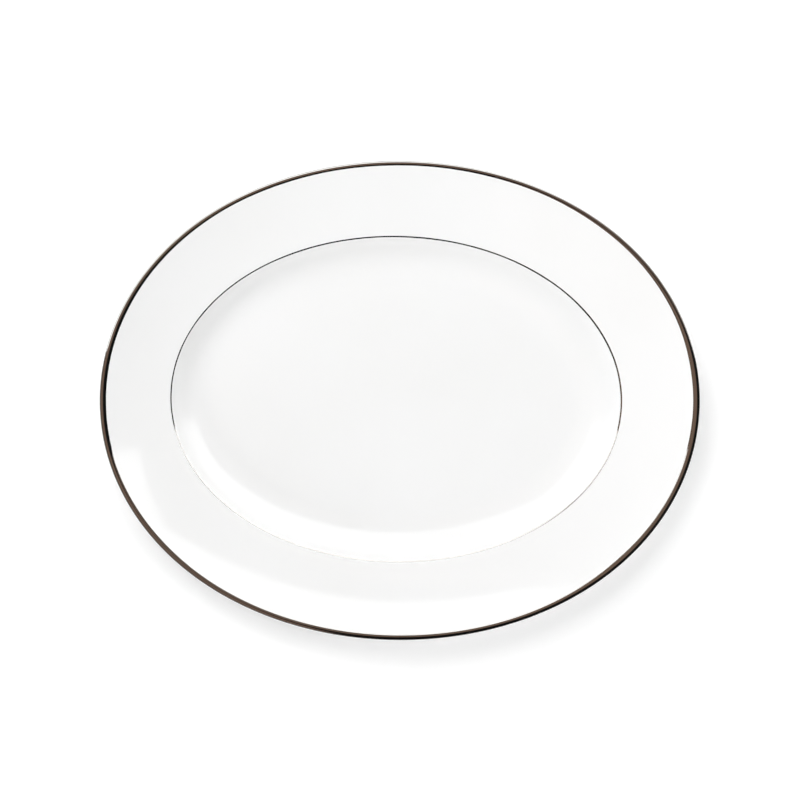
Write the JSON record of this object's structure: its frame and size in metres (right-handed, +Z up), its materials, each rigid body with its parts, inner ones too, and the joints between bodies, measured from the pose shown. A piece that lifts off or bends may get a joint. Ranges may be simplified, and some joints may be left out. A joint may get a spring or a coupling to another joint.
{
  "type": "serving platter",
  "caption": "Oval white china platter: broad hollow rim, curved wall, flat well and low foot ring, with a platinum band over the lip and a platinum hairline at the verge; for serving food.",
  "frame": {"origin": "On the table plane, at the centre of the foot ring, below the middle of the well", "axes": "+X along the platter's long axis, +Y along its short axis, +Z up out of the well"},
  "size_m": [0.35, 0.271, 0.0323],
  "materials": {
    "bare_china": "matt unglazed, polished on the tread",
    "white_glaze": "high gloss",
    "platinum": "burnished platinum lustre"
  },
  "bodies": {
    "root": {"china_body": "bare_china", "face_glaze": "white_glaze", "base_glaze": "white_glaze", "rim_band": "platinum", "verge_line": "platinum"}
  },
  "joints": []
}
